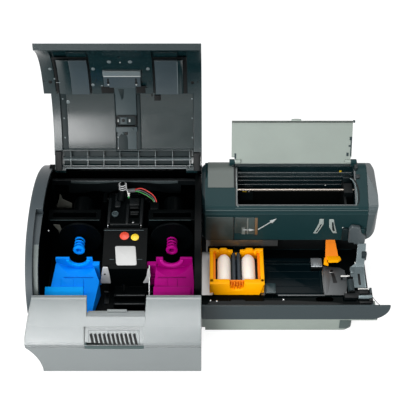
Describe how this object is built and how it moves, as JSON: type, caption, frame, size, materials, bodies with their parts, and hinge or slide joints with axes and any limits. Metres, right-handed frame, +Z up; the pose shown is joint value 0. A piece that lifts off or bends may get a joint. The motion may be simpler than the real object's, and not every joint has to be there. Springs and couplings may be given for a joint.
{
  "type": "id card printer",
  "caption": "Desktop card printer with an open curved ribbon cover, blue and magenta ribbon hubs, and a card feeder with hopper lid and orange cleaning cassette.",
  "frame": {"origin": "on the table under the feeder foot nearest the gap between the two units", "axes": "+X right along the machine, +Y towards its back, +Z up"},
  "size_m": [0.494, 0.3502, 0.3442],
  "materials": {
    "silver_plastic": "satin",
    "slate_plastic": "satin",
    "pale_plastic": "satin",
    "black_plastic": "matte",
    "gloss_black": "glossy",
    "blue_plastic": "satin",
    "magenta_plastic": "satin",
    "orange_plastic": "satin",
    "sheet_steel": "brushed",
    "bright_steel": "bright",
    "foot_rubber": "matte",
    "platen_rubber": "matte",
    "white_rubber": "matte",
    "label_white": "matte",
    "dot_red": "matte",
    "motor_metal": "satin",
    "board_green": "matte",
    "wire_mix": "matte"
  },
  "bodies": {
    "frame": {"case_base": "silver_plastic", "rubber_feet": "foot_rubber", "front_plinth": "silver_plastic", "front_panel": "silver_plastic", "vent_grille": "silver_plastic", "left_side_cover": "slate_plastic", "rear_cover": "slate_plastic", "inner_frame": "black_plastic", "bulkhead_right": "black_plastic", "rear_rail": "gloss_black", "bearing_beam": "black_plastic", "hinge_pins": "bright_steel", "bridge_cover": "black_plastic", "blank_label": "label_white", "marker_dots": "dot_red", "supply_cradle": "blue_plastic", "takeup_cradle": "magenta_plastic", "wire_bail": "bright_steel", "leaf_clips": "sheet_steel", "head_mount": "black_plastic", "head_harness": "wire_mix", "drive_motors": "motor_metal", "main_board": "board_green", "power_inlet": "black_plastic", "feeder_base": "pale_plastic", "feeder_tub": "slate_plastic", "feeder_bed": "black_plastic", "bed_plates": "sheet_steel", "card_tray": "gloss_black", "hood_shell": "slate_plastic", "hood_end_cap": "slate_plastic", "hopper_trim": "slate_plastic", "hopper_liner": "black_plastic", "slide_rods": "bright_steel", "side_bracket": "sheet_steel", "coupling_block": "black_plastic"},
    "ribbon_cover": {"top_cover": "slate_plastic", "cover_liner": "black_plastic", "cover_channel": "gloss_black", "cover_bracket": "black_plastic"},
    "print_head_arm": {"head_carriage": "black_plastic", "print_head": "sheet_steel", "head_spring": "bright_steel"},
    "supply_spool": {"supply_spindle": "blue_plastic", "supply_disc": "black_plastic"},
    "takeup_spool": {"takeup_spindle": "magenta_plastic", "takeup_disc": "black_plastic"},
    "platen": {"platen_roller": "platen_rubber", "platen_shaft": "bright_steel"},
    "cassette": {"cleaning_cassette": "orange_plastic", "contact_rods": "gloss_black"},
    "left_cleaning_roller": {"cleaning_roller_left": "white_rubber"},
    "right_cleaning_roller": {"cleaning_roller_right": "white_rubber"},
    "lid": {"hopper_lid": "pale_plastic"},
    "pusher": {"card_pusher": "black_plastic"},
    "gate": {"gate_lever": "orange_plastic"},
    "pick": {"pick_roller": "platen_rubber"},
    "end_roll": {"end_roller": "black_plastic"},
    "button": {"power_button": "black_plastic"}
  },
  "joints": [
    {"name": "ribbon_cover_hinge", "type": "hinge", "parent": "frame", "child": "ribbon_cover", "pos_m": [-0.118, 0.079, 0.13], "axis": [1, 0, 0], "range_deg": [0, 101.6]},
    {"name": "hopper_lid_hinge", "type": "hinge", "parent": "frame", "child": "lid", "pos_m": [0.119, 0.05, 0.172], "axis": [1, 0, 0], "range_deg": [0, 139.4]},
    {"name": "head_lift", "type": "hinge", "parent": "frame", "child": "print_head_arm", "pos_m": [-0.1175, 0.054, 0.092], "axis": [-1, 0, 0], "range_deg": [0, 3]},
    {"name": "supply_spin", "type": "hinge", "parent": "frame", "child": "supply_spool", "pos_m": [-0.18, -0.02, 0.0925], "axis": [0, 1, 0], "continuous": true},
    {"name": "takeup_spin", "type": "hinge", "parent": "frame", "child": "takeup_spool", "pos_m": [-0.0505, -0.02, 0.0925], "axis": [0, 1, 0], "continuous": true},
    {"name": "platen_spin", "type": "hinge", "parent": "frame", "child": "platen", "pos_m": [-0.118, -0.03, 0.051], "axis": [0, 1, 0], "continuous": true},
    {"name": "cassette_lift", "type": "slide", "parent": "frame", "child": "cassette", "axis": [0, 0, 1], "range_m": [0, 0.04]},
    {"name": "left_roller_spin", "type": "hinge", "parent": "cassette", "child": "left_cleaning_roller", "pos_m": [0.0225, -0.06, 0.0685], "axis": [0, 1, 0], "continuous": true},
    {"name": "right_roller_spin", "type": "hinge", "parent": "cassette", "child": "right_cleaning_roller", "pos_m": [0.0565, -0.06, 0.0685], "axis": [0, 1, 0], "continuous": true},
    {"name": "pusher_slide", "type": "slide", "parent": "frame", "child": "pusher", "axis": [1, 0, 0], "range_m": [-0.145, 0]},
    {"name": "gate_slide", "type": "slide", "parent": "frame", "child": "gate", "axis": [1, 0, 0], "range_m": [-0.02, 0]},
    {"name": "pick_spin", "type": "hinge", "parent": "frame", "child": "pick", "pos_m": [0.05, 0.02, 0.0495], "axis": [0, 1, 0], "continuous": true},
    {"name": "end_roller_spin", "type": "hinge", "parent": "frame", "child": "end_roll", "pos_m": [0.1992, -0.083, 0.0584], "axis": [0, 1, 0], "continuous": true},
    {"name": "power_push", "type": "slide", "parent": "frame", "child": "button", "axis": [0, -1, 0], "range_m": [0, 0.0025], "stiffness_N_per_m": 200}
  ]
}
